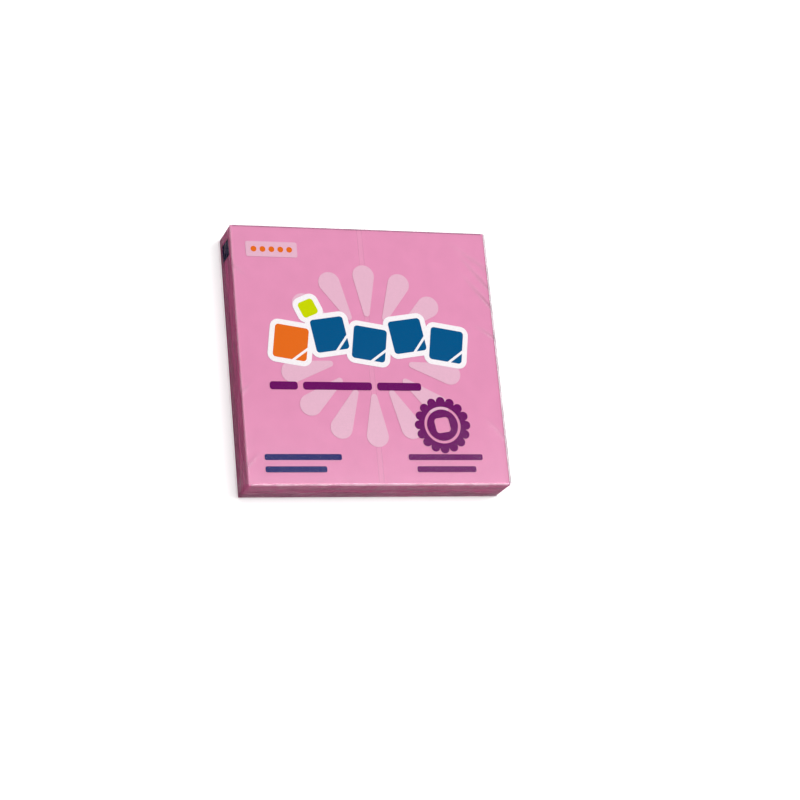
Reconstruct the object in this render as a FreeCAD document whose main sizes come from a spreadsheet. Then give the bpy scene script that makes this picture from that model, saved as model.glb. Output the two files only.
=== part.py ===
import FreeCAD, Part
import os

import Sketcher

# A pad of sticky notes in its clear film overwrap, lying on its back.
# The origin is at the middle of the underside, +Z up; +X is the right edge and +Y the far edge
# of the printed face, and the lap seam of the film is on the near side (-Y).

# Driving sizes in millimetres, degrees and plain counts.
SIZES = [
    ("note_width", 76.0, "notes, left to right"),
    ("note_depth", 76.0, "notes, near to far"),
    ("sheet_count", 100, "notes in the pad"),
    ("sheet_pitch", 0.118, "one note with its glue"),
    ("backing_thickness", 0.25, "release-coated sheet under the last note"),
    ("film_thickness", 0.04, "clear film"),
    ("film_lift", 0.3, "room between the top note and the film"),
    ("side_room", 0.2, "room between the notes' edges and the sleeve, and its bend radius inside"),
    ("end_room", 0.2, "room between the notes' ends and the first fold"),
    ("fold_reach", 8.2, "film that is folded over each end"),
    ("lap_height", 6.2, "height of the outer free edge of the lap seam"),
    ("tape_width", 1.6, "tear tape"),
    ("tape_thickness", 0.05, "tear tape"),
    ("ink_thickness", 0.05, "each ink layer, drawn thicker than it is so that it stays a solid"),
    ("eye_inset", 3.3, "registration mark, from the far corner of the film"),
    ("eye_width", 4.9, "registration mark"),
    ("eye_height", 6.4, "registration mark"),
    ("row_pitch", 11.5, "row of printed notes, centre to centre"),
    ("row_offset", 4.6, "row of printed notes, beyond the middle of the face"),
    ("row_rise", 1.3, "up and down step of the row"),
    ("row_tilt", 9.0, "tilt of each printed note, in degrees"),
    ("motif_side", 9.8, "side of a printed note"),
    ("motif_round", 1.0, "corner radius of a printed note"),
    ("ear_reach", 4.2, "folded corner of a printed note, along its side"),
    ("ear_gap", 0.7, "white line between a printed note and its folded corner"),
    ("keyline", 1.5, "white margin round the printed notes"),
    ("chip_side", 4.8, "side of the small lime note"),
    ("chip_offset", 13.6, "small lime note, beyond the middle of the face"),
    ("chip_tilt", 24.0, "tilt of the small lime note, in degrees"),
    ("ray_count", 14, "pale drop-shaped rays behind the row"),
    ("ray_inner", 11.5, "inner end of a ray, from the middle of the face"),
    ("ray_length", 15.5, "ray"),
    ("ray_width", 6.4, "outer, wider end of a ray"),
    ("ray_root", 1.8, "inner, narrower end of a ray"),
    ("label_width", 15.0, "pale label"),
    ("label_height", 4.6, "pale label"),
    ("label_round", 0.6, "corner radius of the label"),
    ("label_side_margin", 11.5, "left edge of the notes to the middle of the label"),
    ("label_top_margin", 7.0, "far edge of the notes to the middle of the label"),
    ("dot_count", 5, "orange dots on the label"),
    ("dot_size", 1.7, "diameter of a dot"),
    ("dot_pitch", 2.6, "dots, centre to centre"),
    ("dash_offset", 9.3, "purple dashes, nearer than the middle of the face"),
    ("dash_height", 2.3, "purple dashes"),
    ("dash_round", 0.8, "corner radius of the dashes"),
    ("dash_gap", 1.6, "between two dashes"),
    ("dash_start", 8.0, "left edge of the notes to the first dash"),
    ("dash_short", 8.0, "first dash"),
    ("dash_long", 20.0, "second dash"),
    ("dash_middle", 13.0, "third dash"),
    ("seal_side_margin", 18.5, "right edge of the notes to the middle of the seal"),
    ("seal_near_margin", 17.5, "near edge of the notes to the middle of the seal"),
    ("seal_size", 14.0, "diameter of the round seal without its scallops"),
    ("scallop_count", 16, "scallops round the seal"),
    ("scallop_size", 2.6, "diameter of a scallop"),
    ("seal_ring_size", 10.8, "outer diameter of the open ring in the seal"),
    ("seal_ring_width", 0.8, "open ring in the seal"),
    ("seal_note_side", 4.4, "small open note in the seal"),
    ("rule_height", 1.7, "printed rules in the near corners"),
    ("rule_round", 0.5, "corner radius of the rules"),
    ("rule_pitch", 3.5, "rules, centre to centre"),
    ("rule_near_margin", 4.6, "near edge of the notes to the nearest rule"),
    ("rule_long", 22.0, "longer rule"),
    ("rule_short", 17.5, "shorter rule"),
    ("rule_side_margin", 5.0, "left edge of the notes to the navy rules"),
]

ROW_COUNT = 5

# Heights, lengths and places that follow from the sizes, as expressions.
FLOOR = "(Sizes.film_thickness + Sizes.tape_thickness)"
BLOCK_BASE = f"({FLOOR} + Sizes.backing_thickness)"
BLOCK_HEIGHT = "(Sizes.sheet_count * Sizes.sheet_pitch)"
FILM_UNDERSIDE = f"({BLOCK_BASE} + {BLOCK_HEIGHT} + Sizes.film_lift)"
TOTAL_HEIGHT = f"({FILM_UNDERSIDE} + Sizes.film_thickness)"
SLEEVE_INNER_DEPTH = "(Sizes.note_depth + 2 * Sizes.side_room)"
SLEEVE_OUTER_DEPTH = f"({SLEEVE_INNER_DEPTH} + 2 * Sizes.film_thickness)"
SLEEVE_RADIUS = "(Sizes.side_room + Sizes.film_thickness)"
FLAP_ROOT = "Sizes.note_depth"
FIRST_FOLD = "(Sizes.note_width / 2 + Sizes.end_room)"
FOLD_LAYERS = 3
SLEEVE_LENGTH = f"(2 * ({FIRST_FOLD} + {FOLD_LAYERS} * Sizes.film_thickness))"
INK_TOP = f"({FILM_UNDERSIDE} - Sizes.ink_thickness)"
WHITE_BASE = f"({FILM_UNDERSIDE} - 2 * Sizes.ink_thickness)"
TINT_BASE = f"({FILM_UNDERSIDE} - 3 * Sizes.ink_thickness)"
TAPE_HEIGHT = f"({TINT_BASE} - Sizes.film_thickness)"

doc = FreeCAD.newDocument("StickyNotePad")


def make_sheet():
    """Spreadsheet of driving sizes, one row each."""
    sheet = doc.addObject("Spreadsheet::Sheet", "Sizes")
    for row, (alias, value, note) in enumerate(SIZES, start=1):
        sheet.set(f"A{row}", alias)
        sheet.set(f"B{row}", str(value))
        sheet.set(f"C{row}", note)
        sheet.setAlias(f"B{row}", alias)
    doc.recompute()
    return sheet


def new_body(label):
    """A sub-part of its own; a print layer may hold several separate fields."""
    body = doc.addObject("PartDesign::Body", label)
    body.Label = label
    body.AllowCompound = True
    return body


def new_sketch(body, name, role, place, tilt="0"):
    """An empty sketch on an origin plane of the body, moved by three expressions and tilted."""
    sketch = body.newObject("Sketcher::SketchObject", name)
    plane = next(item for item in body.Origin.OriginFeatures if item.Role == role)
    sketch.AttachmentSupport = [(plane, "")]
    sketch.MapMode = "FlatFace"
    for axis, expression in zip("xyz", place):
        sketch.setExpression(f"AttachmentOffset.Base.{axis}", expression)
    sketch.setExpression("AttachmentOffset.Rotation.Angle", tilt)
    return sketch


def bind(sketch, name, expression):
    """Ties the newest constraint of a sketch to an expression."""
    index = sketch.ConstraintCount - 1
    sketch.renameConstraint(index, name)
    sketch.setExpression(f"Constraints.{name}", expression)


def draw_rectangle(sketch, width, height, radius=None):
    """A rectangle about the sketch's origin, with round corners where a radius is given."""
    inset = 1.0 if radius else 0.0
    right, top = 5.0, 4.0
    corners = [(-right, -top), (right, -top), (right, top), (-right, top)]
    along = [(1, 0), (0, 1), (-1, 0), (0, -1)]
    for index, (across, up) in enumerate(along):
        begin = corners[index]
        end = corners[(index + 1) % 4]
        sketch.addGeometry(
            Part.LineSegment(
                FreeCAD.Vector(begin[0] + inset * across, begin[1] + inset * up, 0),
                FreeCAD.Vector(end[0] - inset * across, end[1] - inset * up, 0),
            ),
            False,
        )
    if radius:
        round_corners(sketch, right - inset, top - inset, inset, radius)
    else:
        for index in range(4):
            sketch.addConstraint(Sketcher.Constraint("Coincident", index, 2, (index + 1) % 4, 1))
    for index in (0, 2):
        sketch.addConstraint(Sketcher.Constraint("Horizontal", index))
    for index in (1, 3):
        sketch.addConstraint(Sketcher.Constraint("Vertical", index))
    if radius:
        sketch.addConstraint(Sketcher.Constraint("Symmetric", 5, 3, 7, 3, -1, 1))
    else:
        sketch.addConstraint(Sketcher.Constraint("Symmetric", 0, 1, 2, 1, -1, 1))
    sketch.addConstraint(Sketcher.Constraint("DistanceX", 3, 1, 1, 1, 2 * right))
    bind(sketch, "width", width)
    sketch.addConstraint(Sketcher.Constraint("DistanceY", 0, 1, 2, 1, 2 * top))
    bind(sketch, "height", height)


def round_corners(sketch, centre_x, centre_y, start_radius, radius):
    """Four equal quarter arcs that join the four lines of a rectangle smoothly."""
    quarter = 1.5707963267948966
    centres = [(1, -1), (1, 1), (-1, 1), (-1, -1)]
    for index, (side_x, side_y) in enumerate(centres):
        centre = FreeCAD.Vector(side_x * centre_x, side_y * centre_y, 0)
        circle = Part.Circle(centre, FreeCAD.Vector(0, 0, 1), start_radius)
        sketch.addGeometry(Part.ArcOfCircle(circle, (index - 1) * quarter, index * quarter), False)
    for index in range(4):
        sketch.addConstraint(Sketcher.Constraint("Tangent", index, 2, 4 + index, 1))
        sketch.addConstraint(Sketcher.Constraint("Tangent", 4 + index, 2, (index + 1) % 4, 1))
    for index in (5, 6, 7):
        sketch.addConstraint(Sketcher.Constraint("Equal", 4, index))
    sketch.addConstraint(Sketcher.Constraint("Radius", 4, start_radius))
    bind(sketch, "radius", radius)


def draw_circle(sketch, radius, centre_y="0"):
    """A circle on the sketch's vertical axis."""
    sketch.addGeometry(Part.Circle(FreeCAD.Vector(0, 1, 0), FreeCAD.Vector(0, 0, 1), 1.0), False)
    index = sketch.GeometryCount - 1
    if centre_y == "0":
        sketch.addConstraint(Sketcher.Constraint("Coincident", index, 3, -1, 1))
    else:
        sketch.addConstraint(Sketcher.Constraint("PointOnObject", index, 3, -2))
        sketch.addConstraint(Sketcher.Constraint("DistanceY", -1, 1, index, 3, 1.0))
        bind(sketch, f"centre{index}", centre_y)
    sketch.addConstraint(Sketcher.Constraint("Radius", index, 1.0))
    bind(sketch, f"radius{index}", radius)


def draw_flap(sketch, root_level, direction):
    """A trapezoid about the vertical axis: the root of a flap, its free edge and two slant sides."""
    free_level = f"{root_level} + {direction} * Sizes.fold_reach"
    free_width = f"{FLAP_ROOT} - 2 * Sizes.fold_reach"
    points = [(-5, 5 - 3 * direction), (5, 5 - 3 * direction), (3, 5 + direction), (-3, 5 + direction)]
    vectors = [FreeCAD.Vector(x, y, 0) for x, y in points]
    for index in range(4):
        sketch.addGeometry(Part.LineSegment(vectors[index], vectors[(index + 1) % 4]), False)
    for index in range(4):
        sketch.addConstraint(Sketcher.Constraint("Coincident", index, 2, (index + 1) % 4, 1))
    for index, width, level, name in (
        (0, FLAP_ROOT, root_level, "root"),
        (2, free_width, free_level, "free"),
    ):
        first, second = (1, 2) if index == 0 else (2, 1)
        sketch.addConstraint(Sketcher.Constraint("Symmetric", index, 1, index, 2, -2))
        sketch.addConstraint(Sketcher.Constraint("DistanceX", index, first, index, second, 6.0))
        bind(sketch, f"{name}_width", width)
        sketch.addConstraint(Sketcher.Constraint("DistanceY", -1, 1, index, 1, 5.0))
        bind(sketch, f"{name}_level", level)


def pad(body, sketch, length, midplane=False):
    """Raises a sketch along its normal."""
    feature = body.newObject("PartDesign::Pad", sketch.Name + "_pad")
    feature.Profile = sketch
    feature.Midplane = midplane
    feature.setExpression("Length", length)
    sketch.Visibility = False
    return feature


def pocket_through(body, sketch):
    """Cuts a sketch right through the body, both ways."""
    feature = body.newObject("PartDesign::Pocket", sketch.Name + "_cut")
    feature.Profile = sketch
    feature.Type = "ThroughAll"
    feature.Midplane = True
    return feature


def polar_pattern(body, feature, sketch, count):
    """Repeats a feature round the normal of a sketch through that sketch's origin."""
    pattern = body.newObject("PartDesign::PolarPattern", feature.Name + "_round")
    pattern.Originals = [feature]
    pattern.Axis = (sketch, ["N_Axis"])
    pattern.Angle = 360
    pattern.setExpression("Occurrences", count)
    body.Tip = pattern
    return pattern


def make_note_block():
    """The glued notes, cut square as one stack."""
    body = new_body("note_block")
    sketch = new_sketch(body, "note_outline", "XY_Plane", ("0", "0", BLOCK_BASE))
    draw_rectangle(sketch, "Sizes.note_width", "Sizes.note_depth")
    pad(body, sketch, BLOCK_HEIGHT)


def make_backing_sheet():
    """The sheet under the last note."""
    body = new_body("backing_sheet")
    sketch = new_sketch(body, "backing_outline", "XY_Plane", ("0", "0", FLOOR))
    draw_rectangle(sketch, "Sizes.note_width", "Sizes.note_depth")
    pad(body, sketch, "Sizes.backing_thickness")


def make_film_wrap():
    """One piece of film: the sleeve, its lap seam, then tucks and flaps folded over each end."""
    body = new_body("film_wrap")
    middle = ("0", f"{TOTAL_HEIGHT} / 2", "0")
    outer = new_sketch(body, "sleeve_outside", "YZ_Plane", middle)
    draw_rectangle(outer, SLEEVE_OUTER_DEPTH, TOTAL_HEIGHT, SLEEVE_RADIUS)
    pad(body, outer, SLEEVE_LENGTH, midplane=True)
    inner = new_sketch(body, "sleeve_inside", "YZ_Plane", middle)
    draw_rectangle(
        inner, SLEEVE_INNER_DEPTH, f"{TOTAL_HEIGHT} - 2 * Sizes.film_thickness", "Sizes.side_room"
    )
    pocket_through(body, inner)
    lap_span = f"(Sizes.lap_height - {SLEEVE_RADIUS})"
    lap_place = (
        f"-({SLEEVE_OUTER_DEPTH} + Sizes.film_thickness) / 2",
        f"{SLEEVE_RADIUS} + {lap_span} / 2",
        "0",
    )
    lap = new_sketch(body, "lap_seam", "YZ_Plane", lap_place)
    draw_rectangle(lap, "Sizes.film_thickness", lap_span)
    pad(body, lap, SLEEVE_LENGTH, midplane=True)
    folds = [make_tuck(body, "near", -1), make_tuck(body, "far", 1)]
    folds.append(make_flap(body, "lower_flap", 1, "Sizes.film_thickness", 1))
    folds.append(make_flap(body, "upper_flap", 2, FILM_UNDERSIDE, -1))
    mirrored = body.newObject("PartDesign::Mirrored", "left_folds")
    mirrored.Originals = folds
    plane = next(item for item in body.Origin.OriginFeatures if item.Role == "YZ_Plane")
    mirrored.MirrorPlane = (plane, [""])
    body.Tip = mirrored


def make_tuck(body, name, side):
    """The side panel's end, folded in first, flat against the notes' end."""
    place = (
        f"{side} * ({SLEEVE_INNER_DEPTH} - Sizes.fold_reach) / 2",
        f"{TOTAL_HEIGHT} / 2",
        FIRST_FOLD,
    )
    sketch = new_sketch(body, name + "_tuck", "YZ_Plane", place)
    tuck_height = f"{TOTAL_HEIGHT} - 2 * {SLEEVE_RADIUS}"
    draw_rectangle(sketch, "Sizes.fold_reach", tuck_height)
    return pad(body, sketch, "Sizes.film_thickness")


def make_flap(body, name, layer, root, direction):
    """A flap with slant sides, folded over the tucks, from the underside or from the face."""
    place = ("0", "0", f"{FIRST_FOLD} + {layer} * Sizes.film_thickness")
    sketch = new_sketch(body, name, "YZ_Plane", place)
    draw_flap(sketch, root, direction)
    return pad(body, sketch, "Sizes.film_thickness")


def make_tear_tape():
    """A closed band of clear tape inside the film, under the print, round the middle of the pad."""
    body = new_body("tear_tape")
    middle = ("0", f"Sizes.film_thickness + {TAPE_HEIGHT} / 2", "0")
    outer = new_sketch(body, "tape_outside", "YZ_Plane", middle)
    draw_rectangle(outer, SLEEVE_INNER_DEPTH, TAPE_HEIGHT, "Sizes.side_room")
    pad(body, outer, "Sizes.tape_width", midplane=True)
    inner = new_sketch(body, "tape_inside", "YZ_Plane", middle)
    draw_rectangle(
        inner,
        f"{SLEEVE_INNER_DEPTH} - 2 * Sizes.tape_thickness",
        f"{TAPE_HEIGHT} - 2 * Sizes.tape_thickness",
        "Sizes.side_room - Sizes.tape_thickness",
    )
    pocket_through(body, inner)


def make_eye_mark():
    """The dark registration mark, printed inside the far tuck of the left end."""
    body = new_body("eye_mark")
    place = (
        f"{SLEEVE_OUTER_DEPTH} / 2 - Sizes.eye_inset - Sizes.eye_width / 2",
        f"{TOTAL_HEIGHT} / 2",
        f"-{FIRST_FOLD}",
    )
    sketch = new_sketch(body, "eye_outline", "YZ_Plane", place)
    draw_rectangle(sketch, "Sizes.eye_width", "Sizes.eye_height")
    pad(body, sketch, "Sizes.ink_thickness")


def printed_row():
    """Place and tilt of each printed note, left to right, as expressions."""
    for index in range(ROW_COUNT):
        step = index - (ROW_COUNT - 1) / 2
        side = 1 if index % 2 else -1
        x = f"{step} * Sizes.row_pitch"
        y = f"Sizes.row_offset + {side} * Sizes.row_rise"
        yield index, x, y, f"{side} * Sizes.row_tilt"


# The small lime note sits between the first two notes of the row, above them.
CHIP_PLACE = (f"-({ROW_COUNT} - 2) / 2 * Sizes.row_pitch", "Sizes.chip_offset")


def add_printed_note(body, name, x, y, tilt):
    """A tilted note with one folded corner: a rounded square with a slant line cut across it."""
    outline = new_sketch(body, name, "XY_Plane", (x, y, INK_TOP), tilt)
    draw_rectangle(outline, "Sizes.motif_side", "Sizes.motif_side", "Sizes.motif_round")
    pad(body, outline, "Sizes.ink_thickness")
    ear = new_sketch(body, name + "_ear", "XY_Plane", (x, y, INK_TOP), tilt)
    draw_ear_line(ear)
    pocket_through(body, ear)


def draw_ear_line(sketch):
    """A slant band across the near right corner of a printed note, at 45 degrees to its sides."""
    ends = [(2, -6), (3, -6), (6, -3), (6, -2)]
    vectors = [FreeCAD.Vector(x, y, 0) for x, y in ends]
    for index in range(4):
        sketch.addGeometry(Part.LineSegment(vectors[index], vectors[(index + 1) % 4]), False)
    for index in range(4):
        sketch.addConstraint(Sketcher.Constraint("Coincident", index, 2, (index + 1) % 4, 1))
    overrun = "Sizes.motif_side / 2 + Sizes.ear_gap"
    near = f"Sizes.motif_side / 2 - Sizes.ear_reach - Sizes.ear_gap"
    far = f"{near} + Sizes.ear_gap * sqrt(2)"
    for point, x, y in (
        ((0, 1), near, f"-({overrun})"),
        ((1, 1), far, f"-({overrun})"),
        ((2, 1), overrun, f"-({far})"),
        ((3, 1), overrun, f"-({near})"),
    ):
        sketch.addConstraint(Sketcher.Constraint("DistanceX", -1, 1, *point, 1.0))
        bind(sketch, f"across{point[0]}", x)
        sketch.addConstraint(Sketcher.Constraint("DistanceY", *point, -1, 1, 1.0))
        bind(sketch, f"down{point[0]}", f"-({y})")


def make_row_inks():
    """The orange first note, the blue notes after it and the small lime note."""
    orange = new_body("print_orange")
    blue = new_body("print_blue")
    for index, x, y, tilt in printed_row():
        body = blue if index else orange
        add_printed_note(body, f"printed_note{index}", x, y, tilt)
    add_label_dots(orange)
    lime = new_body("print_lime")
    chip = new_sketch(lime, "chip_outline", "XY_Plane", (*CHIP_PLACE, INK_TOP), "Sizes.chip_tilt")
    draw_rectangle(chip, "Sizes.chip_side", "Sizes.chip_side", "Sizes.motif_round")
    pad(lime, chip, "Sizes.ink_thickness")


def make_white_ink():
    """The white under the row: each note grown by the margin, run together."""
    body = new_body("print_white")
    grown_round = "Sizes.motif_round + Sizes.keyline"
    fields = [(f"margin{index}", x, y, tilt, "Sizes.motif_side") for index, x, y, tilt in printed_row()]
    fields.append(("chip_margin", *CHIP_PLACE, "Sizes.chip_tilt", "Sizes.chip_side"))
    for name, x, y, tilt, side in fields:
        sketch = new_sketch(body, name, "XY_Plane", (x, y, WHITE_BASE), tilt)
        grown = f"{side} + 2 * Sizes.keyline"
        draw_rectangle(sketch, grown, grown, grown_round)
        pad(body, sketch, "Sizes.ink_thickness")


LABEL_PLACE = (
    "Sizes.label_side_margin - Sizes.note_width / 2",
    "Sizes.note_depth / 2 - Sizes.label_top_margin",
)


def make_tint_ink():
    """The pale tint: a burst of rays behind the row, and the label in the far left corner."""
    body = new_body("print_tint")
    burst = new_sketch(body, "ray_outline", "XY_Plane", ("0", "0", TINT_BASE))
    draw_ray(burst)
    ray = pad(body, burst, "Sizes.ink_thickness")
    polar_pattern(body, ray, burst, "Sizes.ray_count")
    label = new_sketch(body, "label_outline", "XY_Plane", (*LABEL_PLACE, TINT_BASE))
    draw_rectangle(label, "Sizes.label_width", "Sizes.label_height", "Sizes.label_round")
    pad(body, label, "Sizes.ink_thickness")


def draw_ray(sketch):
    """A drop on the vertical axis of the sketch: two straight sides and a round at each end."""
    half = FreeCAD.Vector(1, 0, 0)
    up = FreeCAD.Vector(0, 0, 1)
    turn = 3.141592653589793
    inner, outer = FreeCAD.Vector(0, 5, 0), FreeCAD.Vector(0, 9, 0)
    sketch.addGeometry(Part.LineSegment(inner + half, outer + half), False)
    sketch.addGeometry(Part.ArcOfCircle(Part.Circle(outer, up, 1.0), 0, turn), False)
    sketch.addGeometry(Part.LineSegment(outer - half, inner - half), False)
    sketch.addGeometry(Part.ArcOfCircle(Part.Circle(inner, up, 1.0), turn, 2 * turn), False)
    for index in range(4):
        sketch.addConstraint(Sketcher.Constraint("Tangent", index, 2, (index + 1) % 4, 1))
    sketch.addConstraint(Sketcher.Constraint("PointOnObject", 1, 3, -2))
    sketch.addConstraint(Sketcher.Constraint("PointOnObject", 3, 3, -2))
    sketch.addConstraint(Sketcher.Constraint("DistanceY", -1, 1, 3, 3, 5.0))
    bind(sketch, "inner", "Sizes.ray_inner + Sizes.ray_root / 2")
    sketch.addConstraint(Sketcher.Constraint("DistanceY", 3, 3, 1, 3, 4.0))
    bind(sketch, "span", "Sizes.ray_length - (Sizes.ray_width + Sizes.ray_root) / 2")
    sketch.addConstraint(Sketcher.Constraint("Radius", 1, 1.0))
    bind(sketch, "outer_radius", "Sizes.ray_width / 2")
    sketch.addConstraint(Sketcher.Constraint("Radius", 3, 1.0))
    bind(sketch, "inner_radius", "Sizes.ray_root / 2")


def add_label_dots(body):
    """A row of orange dots in the middle of the label."""
    count = int(doc.Sizes.get("dot_count"))
    for index in range(count):
        x = f"{LABEL_PLACE[0]} + {index - (count - 1) / 2} * Sizes.dot_pitch"
        sketch = new_sketch(body, f"label_dot{index}", "XY_Plane", (x, LABEL_PLACE[1], INK_TOP))
        draw_circle(sketch, "Sizes.dot_size / 2")
        pad(body, sketch, "Sizes.ink_thickness")


SEAL_PLACE = (
    "Sizes.note_width / 2 - Sizes.seal_side_margin",
    "Sizes.seal_near_margin - Sizes.note_depth / 2",
)


def make_purple_ink():
    """The scalloped seal with two rules under it, and a line of dashes below the row."""
    body = new_body("print_purple")
    place = (*SEAL_PLACE, INK_TOP)
    disc = new_sketch(body, "seal_disc", "XY_Plane", place)
    draw_circle(disc, "Sizes.seal_size / 2")
    pad(body, disc, "Sizes.ink_thickness")
    edge = new_sketch(body, "scallop", "XY_Plane", place)
    draw_circle(edge, "Sizes.scallop_size / 2", "Sizes.seal_size / 2")
    scallop = pad(body, edge, "Sizes.ink_thickness")
    polar_pattern(body, scallop, disc, "Sizes.scallop_count")
    ring = new_sketch(body, "seal_ring", "XY_Plane", place)
    draw_circle(ring, "Sizes.seal_ring_size / 2")
    draw_circle(ring, "Sizes.seal_ring_size / 2 - Sizes.seal_ring_width")
    pocket_through(body, ring)
    window = new_sketch(body, "seal_note", "XY_Plane", place, "Sizes.row_tilt")
    draw_rectangle(window, "Sizes.seal_note_side", "Sizes.seal_note_side", "Sizes.motif_round")
    pocket_through(body, window)
    add_rules(body, "seal_rule", SEAL_PLACE[0], "0")
    add_dashes(body)


def add_rules(body, name, middle, indent):
    """Two printed rules, one above the other, near the lower edge."""
    for index, length in enumerate(("Sizes.rule_short", "Sizes.rule_long")):
        y = f"Sizes.rule_near_margin + {index} * Sizes.rule_pitch - Sizes.note_depth / 2"
        x = f"{middle} + {indent} * {length}"
        sketch = new_sketch(body, f"{name}{index}", "XY_Plane", (x, y, INK_TOP))
        draw_rectangle(sketch, length, "Sizes.rule_height", "Sizes.rule_round")
        pad(body, sketch, "Sizes.ink_thickness")


def add_dashes(body):
    """Three purple dashes in a line below the row."""
    start = "Sizes.dash_start - Sizes.note_width / 2"
    for index, length in enumerate(("Sizes.dash_short", "Sizes.dash_long", "Sizes.dash_middle")):
        place = (f"{start} + {length} / 2", "-Sizes.dash_offset", INK_TOP)
        sketch = new_sketch(body, f"dash{index}", "XY_Plane", place)
        draw_rectangle(sketch, length, "Sizes.dash_height", "Sizes.dash_round")
        pad(body, sketch, "Sizes.ink_thickness")
        start = f"{start} + {length} + Sizes.dash_gap"


def make_navy_ink():
    """Two navy rules in the near left corner, from one left edge."""
    body = new_body("print_navy")
    add_rules(body, "navy_rule", "Sizes.rule_side_margin - Sizes.note_width / 2", "0.5")


def check_document():
    """Stops on a failed feature or a bad solid."""
    for item in doc.Objects:
        if "Invalid" in item.State or "Error" in item.State:
            raise RuntimeError(f"{item.Label} failed: {item.State}")
    for body in doc.findObjects("PartDesign::Body"):
        if body.Shape.isNull() or not body.Shape.isValid() or body.Shape.Volume <= 0:
            raise RuntimeError(f"{body.Label} has no valid solid")


make_sheet()
make_note_block()
make_backing_sheet()
make_film_wrap()
make_tear_tape()
make_eye_mark()
make_tint_ink()
make_white_ink()
make_row_inks()
make_purple_ink()
make_navy_ink()
doc.recompute()
check_document()

os.makedirs("parts", exist_ok=True)
for body in doc.findObjects("PartDesign::Body"):
    body.Shape.exportStep(f"parts/{body.Label}.step")
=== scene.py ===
"""A pad of pink sticky notes in its clear, printed film overwrap."""

import math

import bmesh
import bpy
from mathutils import Matrix, Vector, noise


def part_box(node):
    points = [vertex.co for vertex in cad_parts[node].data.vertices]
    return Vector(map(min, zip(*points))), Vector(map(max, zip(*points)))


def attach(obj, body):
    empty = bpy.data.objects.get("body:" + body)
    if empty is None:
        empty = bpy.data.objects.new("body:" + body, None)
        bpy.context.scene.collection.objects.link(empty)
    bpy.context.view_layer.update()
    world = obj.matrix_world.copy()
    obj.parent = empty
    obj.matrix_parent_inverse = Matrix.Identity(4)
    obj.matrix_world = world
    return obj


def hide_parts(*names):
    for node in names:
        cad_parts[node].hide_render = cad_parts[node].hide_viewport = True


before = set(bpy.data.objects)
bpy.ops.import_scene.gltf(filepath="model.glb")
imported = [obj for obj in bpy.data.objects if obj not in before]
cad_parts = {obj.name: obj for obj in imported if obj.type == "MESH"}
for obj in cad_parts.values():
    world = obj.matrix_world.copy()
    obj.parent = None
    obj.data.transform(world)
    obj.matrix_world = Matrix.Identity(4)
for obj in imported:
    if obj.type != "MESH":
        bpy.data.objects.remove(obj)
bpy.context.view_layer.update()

bl_info = {
    "name": "Sticky note pad",
    "version": (1, 0, 0),
    "blender": (4, 5, 0),
    "location": "View3D > Sidebar > Note Pad",
    "description": "Builds a film-wrapped pad of sticky notes with its stage",
    "category": "Add Mesh",
}

MM = 0.001
NOTES_LOW, NOTES_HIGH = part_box("note_block")
FILM_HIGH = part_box("film_wrap")[1]
TAPE_LOW, TAPE_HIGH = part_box("tear_tape")
PRINT_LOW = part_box("print_tint")[0]
MARK_LOW, MARK_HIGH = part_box("eye_mark")


def number_setting(name, description, default, **options):
    """A number with its unit or limits."""
    return bpy.props.FloatProperty(name=name, description=description, default=default, **options)


def length_setting(name, description, default):
    """A length, with its default in metres."""
    return number_setting(name, description, default, unit="LENGTH")


def share_setting(name, description, default, lowest=0.0):
    """A share of up to 1."""
    return number_setting(name, description, default, min=lowest, max=1.0, subtype="FACTOR")


def colour_setting(name, description, default):
    """A colour as sRGB hex."""
    return bpy.props.StringProperty(name=name, description=description, default=default)


class NoteStackSettings(bpy.types.PropertyGroup):
    """Sizes and colours of the notes and the sheet under them."""

    sheets: bpy.props.IntProperty(
        name="Sheets", description="Notes in the pad", default=100, min=2
    )
    sheet_share: share_setting(
        "Sheet share", "Paper in one step of the stack, the rest is glue and air", 0.9, 0.1
    )
    slip: length_setting("Slip", "How far a note may stand out of the stack", 0.035 * MM)
    turn: number_setting(
        "Turn", "How far a note may lie turned in the stack", math.radians(0.03), subtype="ANGLE"
    )
    note_colour: colour_setting("Note colour", "Flat of a note", "#e794bb")
    edge_colour: colour_setting("Edge colour", "Cut edges of the notes", "#b83f7c")
    backing_colour: colour_setting("Backing colour", "Release-coated sheet", "#efe6e2")


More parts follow.
